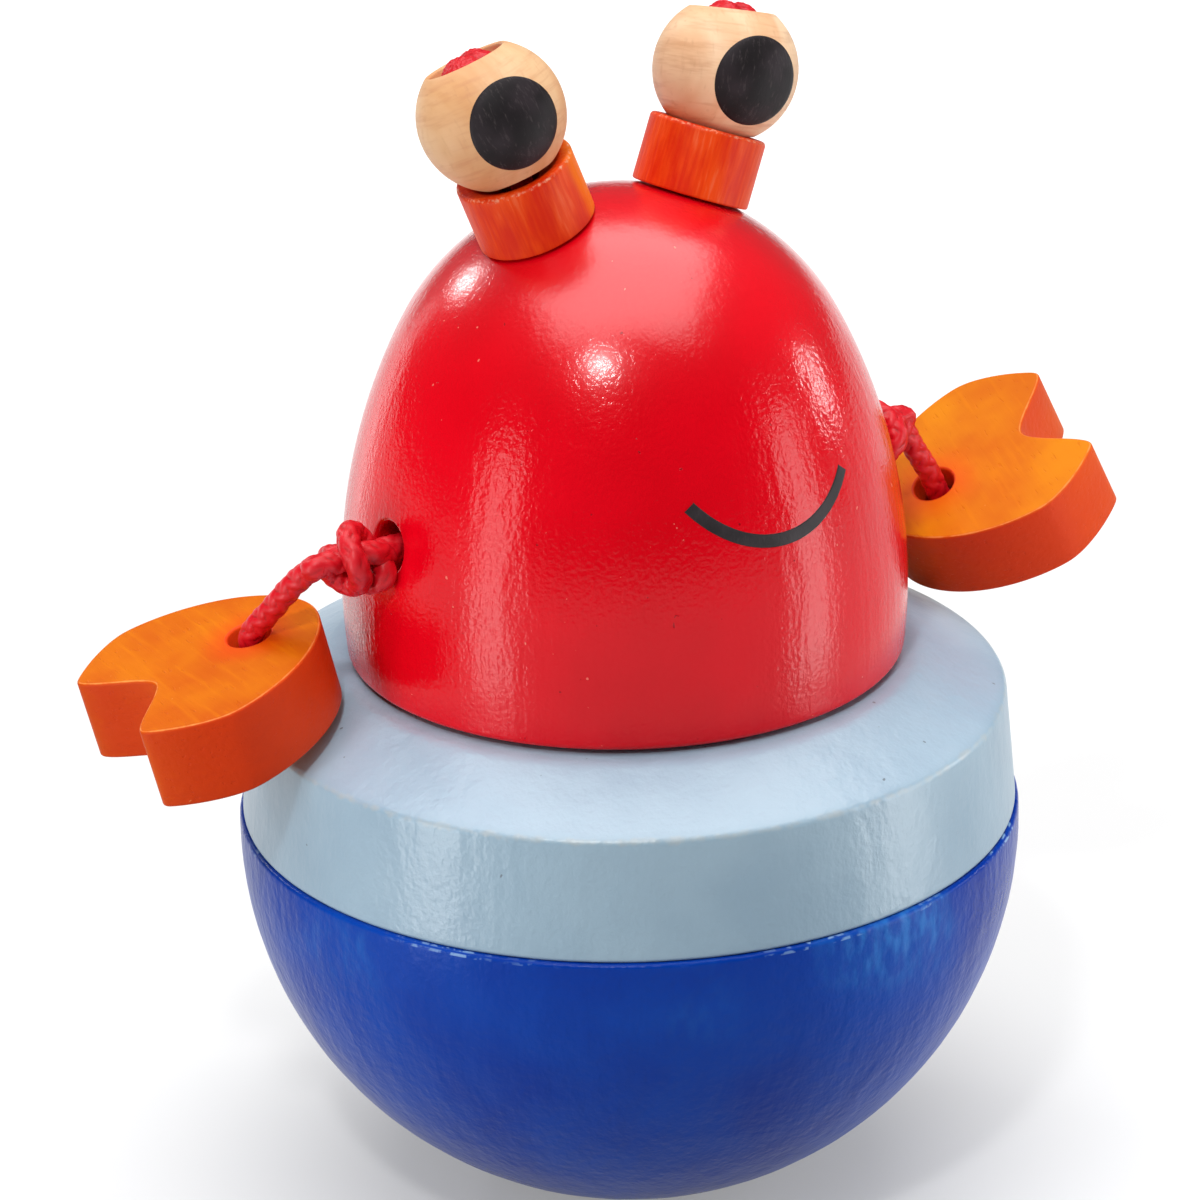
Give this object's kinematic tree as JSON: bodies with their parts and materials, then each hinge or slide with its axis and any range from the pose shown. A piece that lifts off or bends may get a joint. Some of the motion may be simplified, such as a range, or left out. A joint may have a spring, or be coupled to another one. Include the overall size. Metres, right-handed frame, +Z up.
{
  "type": "roly poly toy",
  "caption": "Wooden roly-poly crab on a weighted half-ball: a ring and dome with strung bead eyes and corded claws; tips over and rights itself.",
  "frame": {"origin": "middle of the small flat under the half-ball, where the toy stands", "axes": "+Z up along the turned axis, the crab faces -Y, +X to its left claw as seen by the crab"},
  "size_m": [0.1131, 0.08, 0.1228],
  "materials": {
    "blue_lacquer": "glossy blue lacquer on turned wood",
    "pale_lacquer": "satin pale blue lacquer on turned wood",
    "red_lacquer": "glossy red lacquer on turned wood",
    "black_ink": "thin matt black printing ink",
    "stalk_lacquer": "worn orange-red lacquer on dowel",
    "natural_wood": "natural turned wood, bare",
    "orange_stain": "orange stain on sawn wood, redder on the sides",
    "red_cord": "waxed braided red cord",
    "steel": "plain turned steel"
  },
  "bodies": {
    "root": {"base_bowl": "blue_lacquer", "ballast_weight": "steel", "ballast_plug": "natural_wood", "deck_ring": "pale_lacquer", "centre_dowel": "natural_wood", "body_dome": "red_lacquer", "mouth_print": "black_ink", "eye_cord": "red_cord", "claw_cord": "red_cord", "dome_knot_left": "red_cord", "dome_knot_right": "red_cord"},
    "eye_line_left": {"eye_cord_end_left": "red_cord", "eye_knot_left": "red_cord"},
    "stalk_left": {"eye_stalk_left": "stalk_lacquer"},
    "bead_left": {"eye_bead_left": "natural_wood", "pupil_left": "black_ink"},
    "claw_line_left": {"claw_cord_left": "red_cord", "claw_end_knot_left": "red_cord"},
    "claw_left": {"claw_left": "orange_stain"},
    "eye_line_right": {"eye_cord_end_right": "red_cord", "eye_knot_right": "red_cord"},
    "stalk_right": {"eye_stalk_right": "stalk_lacquer"},
    "bead_right": {"eye_bead_right": "natural_wood", "pupil_right": "black_ink"},
    "claw_line_right": {"claw_cord_right": "red_cord", "claw_end_knot_right": "red_cord"},
    "claw_right": {"claw_right": "orange_stain"}
  },
  "joints": [
    {"name": "left_eye_tilt", "type": "hinge", "parent": "root", "child": "eye_line_left", "pos_m": [-0.00387, 0.00059, 0.10599], "axis": [0, 1, 0], "range_deg": [0, 8]},
    {"name": "left_stalk_spin", "type": "hinge", "parent": "eye_line_left", "child": "stalk_left", "pos_m": [-0.0091, 0.0006, 0.10424], "axis": [-0.3713, 0.0244, 0.9282], "continuous": true},
    {"name": "left_bead_spin", "type": "hinge", "parent": "eye_line_left", "child": "bead_left", "pos_m": [-0.01367, 0.0009, 0.11566], "axis": [-0.2827, 0.3107, 0.9075], "continuous": true},
    {"name": "left_claw_swing", "type": "hinge", "parent": "root", "child": "claw_line_left", "pos_m": [-0.0349, 0, 0.0751], "axis": [0, 1, 0], "range_deg": [0, 80]},
    {"name": "left_claw_twist", "type": "hinge", "parent": "claw_line_left", "child": "claw_left", "pos_m": [-0.03866, 0.00857, 0.066], "axis": [-0.2423, -0.009, 0.9701], "range_deg": [-25, 25]},
    {"name": "right_eye_tilt", "type": "hinge", "parent": "root", "child": "eye_line_right", "pos_m": [0.00387, 0.00059, 0.10599], "axis": [0, -1, 0], "range_deg": [0, 8]},
    {"name": "right_stalk_spin", "type": "hinge", "parent": "eye_line_right", "child": "stalk_right", "pos_m": [0.0091, 0.0006, 0.10424], "axis": [0.3713, 0.0244, 0.9282], "continuous": true},
    {"name": "right_bead_spin", "type": "hinge", "parent": "eye_line_right", "child": "bead_right", "pos_m": [0.01367, 0.0009, 0.11566], "axis": [0.2529, 0.1409, 0.9572], "continuous": true},
    {"name": "right_claw_swing", "type": "hinge", "parent": "root", "child": "claw_line_right", "pos_m": [0.0349, 0, 0.0751], "axis": [0, -1, 0], "range_deg": [0, 80]},
    {"name": "right_claw_twist", "type": "hinge", "parent": "claw_line_right", "child": "claw_right", "pos_m": [0.0393, -0.00027, 0.0667], "axis": [-0.5079, -0.0921, 0.8565], "range_deg": [-25, 25]}
  ]
}
